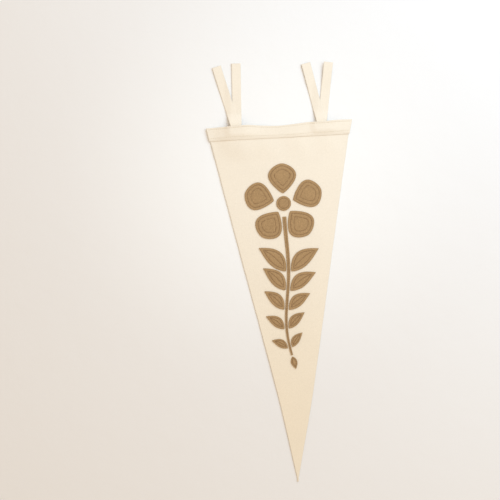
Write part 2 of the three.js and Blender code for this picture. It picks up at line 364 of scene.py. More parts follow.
class Tree:
    """The nodes of one material."""

    def __init__(self, name: str) -> None:
        """Starts a material with no nodes."""
        self.material = bpy.data.materials.new(name)
        self.material.use_nodes = True
        self.nodes = self.material.node_tree.nodes
        self.links = self.material.node_tree.links
        self.nodes.clear()

    def add(self, kind: str, inputs: dict | None = None, **settings: object) -> bpy.types.Node:
        """Adds a node.

        Args:
            kind: the node's type, without its ShaderNode prefix.
            inputs: a number, colour or another node's socket for each of its own sockets.
            settings: the node's own settings.

        Returns:
            The node.
        """
        node = self.nodes.new("ShaderNode" + kind)
        for key, value in settings.items():
            setattr(node, key, value)
        for key, value in (inputs or {}).items():
            if isinstance(value, bpy.types.NodeSocket):
                self.links.new(value, node.inputs[key])
            else:
                node.inputs[key].default_value = value
        return node

    def math(self, operation: str, *values: object) -> bpy.types.NodeSocket:
        """A Math node's result for one to three numbers or sockets."""
        node = self.add("Math", dict(enumerate(values)), operation=operation)
        return node.outputs[0]

    def blend(self, factor: object, low: object, high: object) -> bpy.types.NodeSocket:
        """A colour from low to high by factor."""
        node = self.add("MixRGB", {0: factor, 1: low, 2: high}, blend_type="MIX")
        return node.outputs[0]

    def finish(self, shader: bpy.types.Node) -> bpy.types.Material:
        """Joins the shader to the output and gives the material."""
        self.add("OutputMaterial", {"Surface": shader.outputs[0]})
        return self.material


def rgba(colour: Colour, scale: float = 1.0) -> tuple[float, float, float, float]:
    """A colour times scale, with no transparency."""
    return (colour[0] * scale, colour[1] * scale, colour[2] * scale, 1.0)


@dataclass(frozen=True)
class Felt:
    """Pressed wool felt: matted fibres of slightly different shades, soft lumps, a faint nap.

    colour is the cloth's mean colour, heather how far single fibres are from it, and mottle how
    far the cloth changes over a hand's breadth. Patterns are in fibres or lumps a metre.
    cut_edge_painted_shade and seam_painted_shade are painted shade: how much darker the colour
    is made at cut edges, where the rounded rim lies in shade, and along rows of stitches, in the
    grooves that they press. tip_tint is what the colour is multiplied by past tip_zone, which
    goes from y to y in metres.
    """

    name: str
    slot: str
    colour: Colour
    heather: float
    mottle: float
    fibres: float = 1500.0
    stretch: float = 5.5
    lumps: float = 330.0
    clouds: float = 28.0
    relief: float = 0.00022
    sheen: float = 0.25
    strand_angles: tuple[float, ...] = (0.35, 1.42, 2.51)
    warp: float = 0.0035
    blotch: float = 0.015
    # Painted shade: how much darker the colour is made at cut edges and along rows of stitches
    cut_edge_painted_shade: float = 0.12
    seam_painted_shade: float = 0.05
    tip_tint: Colour | None = None
    tip_zone: tuple[float, float] = (0.0, 1.0)

    def material(self, piece: str, turn: float = 0.0) -> bpy.types.Material:
        """The felt's material for one piece.

        Args:
            piece: the piece's name, which the material is named after.
            turn: how far the fibres are turned on this piece, in radians.

        Returns:
            The material.
        """
        tree = Tree(f"{self.name}_{piece}")
        coordinates = tree.add("TexCoord").outputs["Object"]
        turned = tree.add("Mapping", {"Vector": coordinates, "Rotation": (0.0, 0.0, turn),
                                      "Location": (turn, 0.37 * turn, 0.0)}).outputs[0]
        strands = [self._strands(tree, turned, angle) for angle in self.strand_angles]
        matted = tree.math("MAXIMUM", tree.math("MAXIMUM", strands[0], strands[1]), strands[2])
        lump = self._noise(tree, turned, self.lumps, 3.0, 0.55)
        cloud = self._noise(tree, turned, self.clouds, 2.0, 0.5)
        height = tree.math("MULTIPLY_ADD", lump, 0.55, tree.math("MULTIPLY", matted, 0.6))
        bump = tree.add("Bump", {"Height": height, "Strength": 0.8, "Distance": self.relief})
        dark = rgba(self.colour, 1.0 - self.heather)
        light = rgba(self.colour, 1.0 + 0.55 * self.heather)
        yarn = tree.blend(tree.math("MULTIPLY_ADD", matted, 1.5, -0.35), dark, light)
        edge = tree.add("Attribute", attribute_name="cut_edge").outputs["Fac"]
        seam = tree.add("Attribute", attribute_name="seam").outputs["Fac"]
        shade = tree.math("MULTIPLY_ADD", cloud, 2 * self.mottle, 1 - self.mottle)
        # Painted shade: the colour is darkened at cut edges and along rows of stitches, where shade
        # falls; the lumps' lighter and darker tone is the felt's own mottling
        for value, slope, base in ((edge, -self.cut_edge_painted_shade, 1.0), (seam, -self.seam_painted_shade, 1.0),
                                   (lump, 2 * self.blotch, 1 - self.blotch)):
            shade = tree.math("MULTIPLY", shade, tree.math("MULTIPLY_ADD", value, slope, base))
        tinted = tree.add("MixRGB", {0: 1.0, 1: yarn, 2: shade}, blend_type="MULTIPLY")
        tinted = self._tinted(tree, coordinates, tinted.outputs[0])
        shader = tree.add("BsdfPrincipled", {
            "Base Color": tinted,
            "Roughness": 0.95,
            "Specular IOR Level": 0.18,
            "Sheen Weight": self.sheen,
            "Sheen Roughness": 0.55,
            "Sheen Tint": rgba(self.colour, 1.05),
            "Normal": bump.outputs[0],
        })
        return tree.finish(shader)

    def _tinted(self, tree: Tree, coordinates: object, colour: object) -> bpy.types.NodeSocket:
        """The colour, and past tip_zone the same times tip_tint, with a soft step between."""
        if self.tip_tint is None:
            return colour
        along = tree.add("SeparateXYZ", {"Vector": coordinates}).outputs["Y"]
        share = tree.add("MapRange", {"Value": along, "From Min": self.tip_zone[0],
                                      "From Max": self.tip_zone[1]},
                         interpolation_type="SMOOTHSTEP").outputs[0]
        tint = tree.blend(share, rgba((1.0, 1.0, 1.0)), rgba(self.tip_tint))
        return tree.add("MixRGB", {0: 1.0, 1: colour, 2: tint}, blend_type="MULTIPLY").outputs[0]

    def _noise(self, tree: Tree, vector: object, scale: float, detail: float,
               roughness: float) -> bpy.types.NodeSocket:
        """Plain noise from 0 to 1."""
        noise = tree.add("TexNoise", {"Vector": vector, "Scale": scale, "Detail": detail,
                                      "Roughness": roughness})
        return noise.outputs["Fac"]

    def _strands(self, tree: Tree, vector: object, angle: float) -> bpy.types.NodeSocket:
        """Fibres that mostly run one way: noise stretched along angle, and warped so they wind."""
        warp = tree.add("TexNoise", {"Vector": vector, "Scale": self.fibres / 9, "Detail": 2.0})
        bent = tree.add("MixRGB", {0: self.warp, 1: vector, 2: warp.outputs["Color"]},
                        blend_type="ADD")
        along = tree.add("Mapping", {"Vector": bent.outputs[0], "Rotation": (0.0, 0.0, angle),
                                     "Scale": (self.stretch, 1.0, 1.0)}, vector_type="TEXTURE")
        fine = self._noise(tree, along.outputs[0], self.fibres, 4.0, 0.6)
        return tree.add("MapRange", {"Value": fine, "From Min": 0.36, "From Max": 0.74}).outputs[0]


@dataclass(frozen=True)
class Thread:
    """Matt sewing thread, with the twist of its plies as fine slanted bands of bump, and painted
    shade in the grooves between the plies and painted light on their crowns.
    """

    name: str
    slot: str
    colour: Colour
    twist: float = 2600.0

    def material(self) -> bpy.types.Material:
        """The thread's material."""
        tree = Tree(self.name)
        coordinates = tree.add("TexCoord").outputs["Object"]
        bands = tree.add("TexWave", {"Vector": coordinates, "Scale": self.twist, "Distortion": 2.0},
                         wave_type="BANDS", bands_direction="DIAGONAL").outputs["Fac"]
        # Painted shade and light: the colour is darker where the bands' bump is low and lighter
        # where it is high
        colour = tree.blend(bands, rgba(self.colour, 0.82), rgba(self.colour, 1.1))
        bump = tree.add("Bump", {"Height": bands, "Strength": 0.5, "Distance": 0.00006})
        shader = tree.add("BsdfPrincipled", {
            "Base Color": colour,
            "Roughness": 0.7,
            "Specular IOR Level": 0.35,
            "Sheen Weight": 0.1,
            "Normal": bump.outputs[0],
        })
        return tree.finish(shader)


CREAM_FELT = Felt("cream_felt", "cream_felt", (0.92, 0.832, 0.707), heather=0.055, mottle=0.02,
                  tip_tint=(0.966, 0.937, 0.883), tip_zone=(0.13, -0.24))
# The tan felt gets stronger painted shade along its rows of stitches
TAN_FELT = Felt("tan_felt", "tan_felt", (0.451, 0.287, 0.142), heather=0.28, mottle=0.07,
                sheen=0.2, blotch=0.12, seam_painted_shade=0.2)
CREAM_THREAD = Thread("cream_thread", "cream_thread", (0.8, 0.71, 0.56))
TAN_THREAD = Thread("tan_thread", "tan_thread", (0.25, 0.115, 0.05))


def new_object(name: str, points: Array, faces: Array, finish: bpy.types.Material
               ) -> bpy.types.Object:
    """Makes a smooth mesh object from points and faces that all have as many corners.

    Args:
        name: the object's name.
        points: the points in the solids' frame, in metres, (n, 3).
        faces: each face's corners, anticlockwise from outside, (m, 3) or (m, 4).
        finish: the material.

    Returns:
        The object, in the scene.
    """
    mesh = bpy.data.meshes.new(name)
    corners = faces.shape[1]
    mesh.vertices.add(len(points))
    mesh.vertices.foreach_set("co", points.astype(np.float32).ravel())
    mesh.loops.add(faces.size)
    mesh.loops.foreach_set("vertex_index", faces.astype(np.int32).ravel())
    mesh.polygons.add(len(faces))
    mesh.polygons.foreach_set("loop_start", np.arange(0, faces.size, corners, dtype=np.int32))
    mesh.polygons.foreach_set("use_smooth", np.ones(len(faces), dtype=bool))
    mesh.update(calc_edges=True)
    mesh.materials.append(finish)
    made = bpy.data.objects.new(name, mesh)
    bpy.context.scene.collection.objects.link(made)
    return made


@dataclass
class SheetGrid:
    """A sheet of felt as a grid of places, (rows, columns), in millimetres of the plan.

    edge is how far each place is from the nearest cut edge. front_dent is how deep stitches
    draw the front in, seam how near a row of stitches is, from 0 to 1, shrink how much higher
    the back lies than the cloth's thickness says, and cut_edge_painted_shade_width how far the
    painted shade at the cut edge reaches.
    """

    x: Array
    y: Array
    under: Array
    thick: Array | float
    edge: Array
    front_dent: Array | float = 0.0
    seam: Array | None = None
    edge_radius: float = 0.55
    edge_power: float = 2.6
    shrink: float = 0.0
    cut_edge_painted_shade_width: float = 0.9

    def faces_z(self) -> tuple[Array, Array]:
        """The heights of the two faces.

        They part from one line at the cut edge as a rounded corner does: the share of the
        thickness is the root of one less a power of the missing inset.
        """
        missing = 1 - np.clip(self.edge / self.edge_radius, 0.0, 1.0)
        share = (1 - missing**self.edge_power) ** (1 / self.edge_power)
        middle = self.under + self.thick / 2
        front = middle + (self.thick / 2 - np.asarray(self.front_dent)) * share
        back = middle - (self.thick / 2 - self.shrink) * share
        return front, back

    def build(self, name: str, plan: Plan, finish: bpy.types.Material) -> bpy.types.Object:
        """Makes the sheet: the front's grid, the back's grid, and the cut edge that they share.

        Args:
            name: the object's name.
            plan: where the plan lies in the solids' frame.
            finish: the felt's material.

        Returns:
            The object, with how near each point is to the cut edge and to a row of stitches as
            its cut_edge and seam attributes.
        """
        front, back = self.faces_z()
        rows, columns = self.x.shape
        upper = np.arange(rows * columns).reshape(rows, columns)
        lower = upper.copy()
        inner = (rows - 2) * (columns - 2)
        lower[1:-1, 1:-1] = rows * columns + np.arange(inner).reshape(rows - 2, columns - 2)
        top = np.stack([self.x, self.y, front], axis=2).reshape(-1, 3)
        bottom = np.stack([self.x, self.y, back], axis=2)[1:-1, 1:-1].reshape(-1, 3)
        quads = [
            np.stack([g[:-1, :-1], g[:-1, 1:], g[1:, 1:], g[1:, :-1]], axis=2).reshape(-1, 4)
            for g in (upper, lower)
        ]
        faces = np.concatenate([quads[0], quads[1][:, ::-1]])
        made = new_object(name, plan.place(np.concatenate([top, bottom])), faces, finish)
        # Painted shade: cut_edge tells the felt how much to darken its colour near the cut edge, and
        # seam how near a row of stitches is, where it paints shade too
        self._shade(made, "cut_edge", 1 - ease(self.edge / self.cut_edge_painted_shade_width), True)
        self._shade(made, "seam", 0 * self.x if self.seam is None else self.seam, False)
        return made

    def _shade(self, made: bpy.types.Object, name: str, values: Array, both: bool) -> None:
        """Stores a number at each point of the front, and on the back too or 0 there."""
        back = values[1:-1, 1:-1].ravel() * (1.0 if both else 0.0)
        attribute = made.data.attributes.new(name, "FLOAT", "POINT")
        everywhere = np.concatenate([values.ravel(), back])
        attribute.data.foreach_set("value", everywhere.astype(np.float32))


def across(half: Array, inner: int, lines: Array = EDGE_LINES) -> Array:
    """Grid lines from -half to +half, close together near both edges.

    Args:
        half: half the width at each row, (rows, 1).
        inner: how many even divisions lie between the two groups of close lines.
        lines: the close lines' distances from the edge, rising. They draw together where the
            strip is narrow.

    Returns:
        The places across, (rows, columns).
    """
    fit = np.minimum(1.0, CLOSE_SHARE * half / lines[-1])
    near = half - lines[None, :] * fit
    core = near[:, -1:] * np.linspace(-1, 1, inner + 1)[None, 1:-1]
    return np.concatenate([-near, core, near[:, ::-1]], axis=1)


def wobble(place: Array, size: float, seed: float) -> Array:
    """How far a hand-cut edge wanders: three slow sines of unlike lengths, size in all."""
    return sum(size * part * np.sin(2 * np.pi * place / run + seed * (i + 1.7))
               for i, (run, part) in enumerate(CUT_WAVES))


def cut_by_hand(side: Array, half: Array, along: Array, size: float,
                seeds: tuple[float, float]) -> Array:
    """The places across a strip once its two cut edges wander and its middle stays.

    Args:
        side: the places across, from -half to +half.
        half: half the width at each row.
        along: each row's place along the strip.
        size: how far the edges wander.
        seeds: what tells the left edge's waves from the right one's.

    Returns:
        The places across.
    """
    cut = np.where(side < 0, wobble(along, size, seeds[0]), wobble(along, size, seeds[1]))
    return side + cut * np.abs(side) / half


class FeltPiece:
    """Whatever is cut from felt: where it lies, the solid it stands for and its finish.

    turn is how far its fibres are turned, in radians.
    """

    plan: Plan
    node: str
    finish: Felt = CREAM_FELT
    turn: float = 0.0

    @property
    def name(self) -> str:
        """The piece's name."""
        return self.node + "_felt"

    def grid(self) -> SheetGrid:
        """The piece's sheet, which each kind of piece works out in its own way."""
        raise NotImplementedError

    def build(self) -> bpy.types.Object:
        """Makes the sheet in its felt, in place of its solid."""
        made = self.grid().build(self.name, self.plan, self.finish.material(self.name, self.turn))
        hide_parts(self.node)
        return made


@dataclass
class Pennant(FeltPiece):
    """The long triangle of cream felt.

    clear is how far its back stays above the solid's, and cut_seeds tell its two cut edges apart.
    """

    plan: Plan
    node: str = "pennant"
    columns: int = 96
    level_step: float = 2.6
    clear: float = 0.15
    cut_wobble: float = 0.16
    cut_seeds: tuple[float, float] = (1.3, 4.1)

    def grid(self) -> SheetGrid:
        """The triangle as rows from its tip to its wide end, which follows the upper edge."""
        plan = self.plan
        top, tip = -plan.inset, -plan.length
        levels = rows_between(tip, top, self.level_step)
        half = plan.half_width(levels)
        side = across(half, self.columns)
        x = plan.middle_x(levels) + cut_by_hand(side, half, levels, self.cut_wobble,
                                                self.cut_seeds)
        y = levels + plan.upper_edge(x) * ease(1 + levels / plan.heading_depth)
        slant = math.cos(math.atan(plan.half_width_per_mm))
        from_side = (half - np.abs(side)) * slant
        edge = np.minimum(from_side, np.minimum(levels - tip, top - levels) + 0 * side)
        return SheetGrid(x, y, plan.lift(x, y), plan.pennant_thick, edge, shrink=self.clear)


@dataclass
class Heading(FeltPiece):
    """The strip of cream felt sewn across the wide end, and its two rows of stitches.

    Rows of the grid are fine_step apart within fine_reach of a seam. Its lower edge is pressed
    thinner and down over pressed_width.
    """

    plan: Plan
    node: str = "heading"
    turn: float = 1.57
    seams: tuple[float, ...] = (-17.0, -2.9)
    seam_inset: float = 3.0
    seam_wobble: float = 0.25
    seam_points: int = 900
    column_step: float = 1.0
    row_step: float = 1.0
    fine_reach: float = 1.2
    fine_step: float = 0.3
    cut_seeds: tuple[float, float] = (2.2, 5.7)
    dent: float = 0.24
    dent_width: float = 0.75
    pressed_width: float = 4.5
    pressed_gap: float = 0.26
    pressed_dent: float = 0.62
    cut_wobble: float = 0.14

    def _spot(self, side: Array, level: Array) -> tuple[Array, Array]:
        """Plan places for a share of the way from end to end (-1 to 1) and a nominal level."""
        plan = self.plan
        rise = 1 + level / plan.heading_depth
        right = plan.right_reach_below + (plan.right_reach - plan.right_reach_below) * rise
        reach = np.where(side < 0, plan.left_reach, right)
        x = plan.middle_x(level) + side * (plan.half_width(level) + reach)
        y = level + plan.upper_edge(x) * (1 + level / plan.heading_depth)
        return x, y

    def _dents(self, y_nominal: Array) -> Array:
        """How deep the seams draw the cloth in: a soft valley along each."""
        return sum(self.dent * np.exp(-(((y_nominal - seam) / self.dent_width) ** 2))
                   for seam in self.seams)

    def grid(self) -> SheetGrid:
        """The strip as rows from its lower to its upper edge."""
        plan = self.plan
        bottom = -plan.heading_depth
        zones = [zone for seam in self.seams
                 for zone in ((seam - self.fine_reach, self.row_step),
                              (seam + self.fine_reach, self.fine_step))]
        levels = rows_between(bottom, 0.0, self.row_step, *zones)
        half = float(plan.half_width(np.array(0.0)))
        share = across(np.full((1, 1), half), int(2 * half / self.column_step)) / half
        x, y = self._spot(share + 0 * levels, levels + 0 * share)
        fall = ease((levels - bottom) / plan.heading_depth)
        lower, upper = (wobble(x, self.cut_wobble, seed) for seed in self.cut_seeds)
        y = y + lower * (1 - fall) + upper * fall
        from_end = (1 - np.abs(share)) * half
        edge = np.minimum(from_end, np.minimum(levels - bottom, -levels))
        pressed = 1 - ease((levels - bottom) / self.pressed_width)
        under = plan.heading_lift(x, y) - self.pressed_gap * pressed
        return SheetGrid(x, y, under, plan.heading_thick, edge,
                         front_dent=self._dents(levels) + self.pressed_dent * pressed + 0 * x)

    def seam_path(self, level: float) -> Array:
        """A seam's line on the front of the heading, (n, 3), in millimetres."""
        plan = self.plan
        half = float(plan.half_width(np.array(level)))
        share = np.linspace(-1, 1, self.seam_points) * (half - self.seam_inset) / half
        x, y = self._spot(share, np.full_like(share, level))
        y = y + wobble(x, self.seam_wobble, level)
        z = plan.heading_lift(x, y) + plan.heading_thick - self.dent
        return np.stack([x, y, z], axis=1)


@dataclass
class Tie(FeltPiece):
    """One narrow felt strip, from its root under the heading to its square-cut free end.

    wave is the height of the slight waves in its free part, which begin at wave_from and grow
    over wave_run, and wave_pitch is a wave's length over a full turn.
    """

    plan: Plan
    line: TieLine
    columns: int = 14
    step: float = 1.0
    clear: float = 0.04
    cut_wobble: float = 0.12
    cut_shift: float = 2.6
    wave: float = 0.12
    wave_from: float = 45.0
    wave_run: float = 30.0
    wave_pitch: float = 8.5
    fibre_turn: float = 0.4

    @property
    def node(self) -> str:
        """The solid that it stands for."""
        return self.line.name

    @property
    def turn(self) -> float:
        """Its fibres run a little aslant to its length."""
        return math.atan2(float(self.line.way[1]), float(self.line.way[0])) + self.fibre_turn

    def grid(self) -> SheetGrid:
        """The strip as rows from its root to its free end."""
        plan, line = self.plan, self.line
        length = line.length
        rows = rows_between(0.0, length, self.step)
        half = np.full_like(rows, plan.tie_width / 2)
        side = across(half, self.columns)
        seed = line.root_x / 10 + line.layer.value
        shifted = cut_by_hand(side, half, rows, self.cut_wobble, (seed, seed + self.cut_shift))
        x = line.root[0] + line.way[0] * rows + line.way[1] * shifted
        y = line.root[1] + line.way[1] * rows - line.way[0] * shifted
        edge = np.minimum(half - np.abs(side), np.minimum(rows, length - rows) + 0 * side)
        free = ease((rows - self.wave_from) / self.wave_run)
        ripple = self.wave * free * (1 + np.sin(rows / self.wave_pitch + seed))
        under = plan.tie_lift(line, x, y, rows + 0 * side) + ripple
        return SheetGrid(x, y, under, plan.tie_thick_at(y), edge, shrink=self.clear)


@dataclass
class CutOut(FeltPiece):
    """A flat piece of the motif, along a line from start in the direction of angle.

    width_at gives half the width at each share of the length, and curve bends the middle line
    sideways by that share of the length. insets are how far inside the cut edge its rows of
    stitches run, and vein is the share of the length that a row along its middle takes. The
    stitches draw the front in by dent, and past the first row it puffs up by crown over
    crown_run. Between the close grid lines others lie fill_step apart. seed turns the fibres.
    """

    plan: Plan
    node: str
    start: tuple[float, float]
    angle: float
    length: float
    width_at: Callable[[Array], Array]
    curve: float = 0.0
    insets: tuple[float, ...] = (4.0,)
    vein: tuple[float, float] | None = None
    dent: float = 0.3
    dent_width: float = 0.6
    crown: float = 0.22
    crown_run: float = 3.0
    rows: int = 72
    columns: int = 12
    fill_step: float = 0.85
    fill_from: float = 1.1
    fill_gap: float = 0.35
    end_share: float = 0.028
    contour_points: int = 260
    vein_points: int = 60
    crossing_slack: float = 0.03
    seed: float = 0.0
    finish = TAN_FELT

    @property
    def turn(self) -> float:
        """Its fibres run as the piece was turned when it was cut."""
        return self.angle + self.seed

    def _spots(self, t: Array, side: Array) -> tuple[Array, Array]:
        """Plan places at a share of the length and a distance to the left of the middle line."""
        along = self.length * t
        aside = 4 * self.curve * self.length * t * (1 - t) + side
        cos, sin = math.cos(self.angle), math.sin(self.angle)
        return (self.start[0] + along * cos - aside * sin,
                self.start[1] + along * sin + aside * cos)

    def shares(self, count: int) -> Array:
        """Shares of the length, close together at both ends, where the outline is roundest."""
        part = np.linspace(self.end_share, 1 - self.end_share, count)
        return (1 - np.cos(np.pi * part)) / 2

    def outline(self, count: int = 110) -> Array:
        """The cut edge in plan, anticlockwise and closed, (n, 2)."""
        t = self.shares(count)
        half = self.width_at(t)
        right = np.stack(self._spots(t, -half), axis=1)
        left = np.stack(self._spots(t, half), axis=1)[::-1]
        return np.concatenate([right, left, right[:1]])

    def grid(self) -> SheetGrid:
        """The piece as rows along it, with close lines at its edge and at its stitches."""
        t = self.shares(self.rows)[:, None]
        half = self.width_at(t)
        side = across(half, self.columns, self._lines())
        x, y = self._spots(t + 0 * side, side)
        edge = distance_to(self.outline(), x, y)
        edge[[0, -1], :] = 0.0
        edge[:, [0, -1]] = 0.0
        seam = np.min([distance_to(row, x, y) for row in self.stitch_rows()], axis=0)
        seam = np.exp(-((seam / self.dent_width) ** 2))
        puff = self.crown * ease((edge - self.insets[0]) / self.crown_run)
        return SheetGrid(x, y, self.plan.under_motif(x, y), self.plan.motif_thick, edge,
                         front_dent=self.dent * seam - puff * (1 - seam), seam=seam)

    def _lines(self) -> Array:
        """The distances from the cut edge that grid lines keep: closest at each row of stitches."""
        near = np.concatenate([inset + SEAM_LINES for inset in self.insets])
        fill = np.arange(self.fill_from, near[-1], self.fill_step)
        fill = fill[np.abs(fill[:, None] - near[None, :]).min(axis=1) > self.fill_gap]
        return np.sort(np.concatenate([EDGE_LINES, near, fill]))

    def stitch_rows(self) -> list[Array]:
        """The rows of stitches in plan: the outline moved inwards by each inset, and the vein."""
        rows = [self._contour(inset) for inset in self.insets]
        if self.vein:
            t = np.linspace(*self.vein, self.vein_points)
            rows.append(np.stack(self._spots(t, 0 * t), axis=1))
        return rows

    def _contour(self, inset: float) -> Array:
        """The outline moved inwards by inset, closed, without the ends that cross."""
        line = self.outline(self.contour_points)
        way = np.gradient(line, axis=0)
        way /= np.linalg.norm(way, axis=1, keepdims=True)
        moved = line + inset * np.stack([-way[:, 1], way[:, 0]], axis=1)
        path = moved[distance_to(line, moved[:, 0], moved[:, 1]) > inset - self.crossing_slack]
        return np.concatenate([path, path[:1]])

    def stitch_paths(self) -> list[Array]:
        """The rows of stitches on the front, (n, 3)."""
        return [self._on_front(row) for row in self.stitch_rows()]

    def _on_front(self, path: Array) -> Array:
        """A path in plan, raised to the front of the piece, less the stitches' dent."""
        x, y = path[:, 0], path[:, 1]
        z = self.plan.under_motif(x, y) + self.plan.motif_thick - self.dent
        return np.stack([x, y, z], axis=1)

    def greatest_width(self) -> float:
        """The cut's width where it is widest."""
        return 2 * float(self.width_at(np.linspace(0.01, 0.99, 99)).max())

    def area(self) -> float:
        """The cut's flat area, in square millimetres, by the sum of its outline's corners."""
        line = self.outline()
        x, y = line[:, 0], line[:, 1]
        return float(abs((x[:-1] * y[1:] - x[1:] * y[:-1]).sum()) / 2)


def blade(half: float, belly: float, blunt: float) -> Callable[[Array], Array]:
    """Half widths of a petal or leaf: a sine arch, skewed by belly and rounded by blunt."""
    return lambda t: half * np.maximum(np.sin(np.pi * t**belly), 0.0) ** blunt


def disc(radius: float) -> Callable[[Array], Array]:
    """Half widths of a disc along its diameter."""
    return lambda t: 2 * radius * np.sqrt(np.clip(t * (1 - t), 0.0, None))


@dataclass
class Flower:
    """Five petals round a disc, near the pennant's wide end."""

    plan: Plan
    petals: int = 5
    centre: tuple[float, float] = (0.0, -125.0)
    petal_start: float = 16.0
    petal_length: float = 47.0
    petal_half_width: float = 22.0
    disc_radius: float = 11.5
    belly: float = 1.35
    blunt: float = 0.6

    def cut_outs(self) -> list[CutOut]:
        """The petals, the first one pointing along +y, and the disc."""
        made = []
        for i in range(self.petals):
            angle = math.pi / 2 + 2 * math.pi * i / self.petals
            start = (self.centre[0] + self.petal_start * math.cos(angle),
                     self.centre[1] + self.petal_start * math.sin(angle))
            shape = blade(self.petal_half_width, self.belly, self.blunt)
            made.append(CutOut(self.plan, f"petal_{i + 1}", start, angle, self.petal_length,
                               shape, insets=(4.0, 9.5), seed=1.1 * i))
        start = (self.centre[0] - self.disc_radius, self.centre[1])
        made.append(CutOut(self.plan, "flower_centre", start, 0.0, 2 * self.disc_radius,
                           disc(self.disc_radius), insets=(3.4,), seed=0.7))
        return made


@dataclass
class Stem(CutOut):
    """The motif's stem: a narrow strip along its own middle line, with one row of stitches."""

    node: str = "stem"
    start: tuple[float, float] = (0.0, 0.0)
    angle: float = 0.0
    length: float = 1.0
    width_at: Callable[[Array], Array] = field(init=False)
    insets: tuple[float, ...] = (2.4,)
    crown: float = 0.0
    rows: int = 150
    columns: int = 6
    seam_ends: float = 0.012
    seam_points: int = 200
    top: float = -146.0
    bottom: float = -364.0
    sway: float = 8.0
    top_width: float = 6.0
    bottom_width: float = 3.2

    def __post_init__(self) -> None:
        """Gives the stem half its own width at each share of its length."""
        self.width_at = lambda t: self.width(t) / 2

    def middle(self, t: Array) -> Array:
        """The middle line at each share of its length: straight down, then a growing sway."""
        return np.stack([self.sway * t * np.sin(2 * np.pi * t),
                         self.top + (self.bottom - self.top) * t], axis=-1)

    def way(self, t: Array) -> Array:
        """The middle line's direction, towards the tip."""
        ahead = self.middle(t + 0.001) - self.middle(t - 0.001)
        return ahead / np.linalg.norm(ahead, axis=-1, keepdims=True)

    def width(self, t: Array) -> Array:
        """The stem's whole width at each share of its length."""
        return self.top_width + (self.bottom_width - self.top_width) * t

    def _spots(self, t: Array, side: Array) -> tuple[Array, Array]:
        """Plan places at a share of the length and a distance to the left of the middle line."""
        spot, way = self.middle(t), self.way(t)
        return spot[..., 0] - side * way[..., 1], spot[..., 1] + side * way[..., 0]

    def shares(self, count: int) -> Array:
        """Even shares of the length, with a few close ones at both ends for the cut ends."""
        ends = EDGE_LINES / abs(self.bottom - self.top)
        even = np.linspace(ends[-1], 1 - ends[-1], count)
        return np.concatenate([ends[:-1], even, 1 - ends[:-1][::-1]])

    def stitch_rows(self) -> list[Array]:
        """The one row of stitches, along the middle of the stem."""
        return [self.middle(np.linspace(self.seam_ends, 1 - self.seam_ends, self.seam_points))]


@dataclass
class Sprig:
    """The stem, its leaves in pairs that get smaller towards the tip, and a bud at its end."""

    plan: Plan
    pairs: int = 5
    leaf_length: float = 56.0
    leaf_half_width: float = 12.5
    shrink: float = 0.125
    first: float = 0.41
    pitch: float = 0.137
    leaf_angle: float = math.radians(50)
    leaf_curve: float = 0.08
    leaf_gap: float = 2.4
    bud_length: float = 20.0
    bud_half_width: float = 5.0
    belly: float = 0.85
    blunt: float = 0.95
    stem: Stem = field(init=False)

    def __post_init__(self) -> None:
        """Makes the stem that the leaves grow from."""
        self.stem = Stem(self.plan)

    def _leaf(self, name: str, t: float, side: int, size: float) -> CutOut:
        """A leaf that grows from the stem at t, up and out to one side (+1 right, -1 left)."""
        spot, way = self.stem.middle(np.array(t)), self.stem.way(np.array(t))
        angle = math.atan2(-way[1], -way[0]) - side * self.leaf_angle
        clear = float(self.stem.width(np.array(t))) / 2 / math.sin(self.leaf_angle) + self.leaf_gap
        start = (float(spot[0]) + clear * math.cos(angle), float(spot[1]) + clear * math.sin(angle))
        half = self.leaf_half_width * size
        return CutOut(self.plan, name, start, angle, self.leaf_length * size,
                      blade(half, self.belly, self.blunt), side * self.leaf_curve,
                      insets=(min(4.0, 0.4 * half),), vein=(0.17, 0.8), columns=20,
                      seed=t * 7 + side)

    def cut_outs(self) -> list[CutOut]:
        """The stem, the leaves and the bud."""
        made: list[CutOut] = [self.stem]
        for pair in range(self.pairs):
            t, size = self.first + self.pitch * pair, 1 - self.shrink * pair
            made.append(self._leaf(f"leaf_left_{pair + 1}", t, -1, size))
            made.append(self._leaf(f"leaf_right_{pair + 1}", t, 1, size))
        end, way = self.stem.middle(np.array(1.0)), self.stem.way(np.array(1.0))
        start = (float(end[0] + way[0] * self.leaf_gap), float(end[1] + way[1] * self.leaf_gap))
        made.append(CutOut(self.plan, "bud", start, math.atan2(way[1], way[0]), self.bud_length,
                           blade(self.bud_half_width, self.belly, self.blunt),
                           insets=(0.4 * self.bud_half_width,), seed=0.3))
        return made


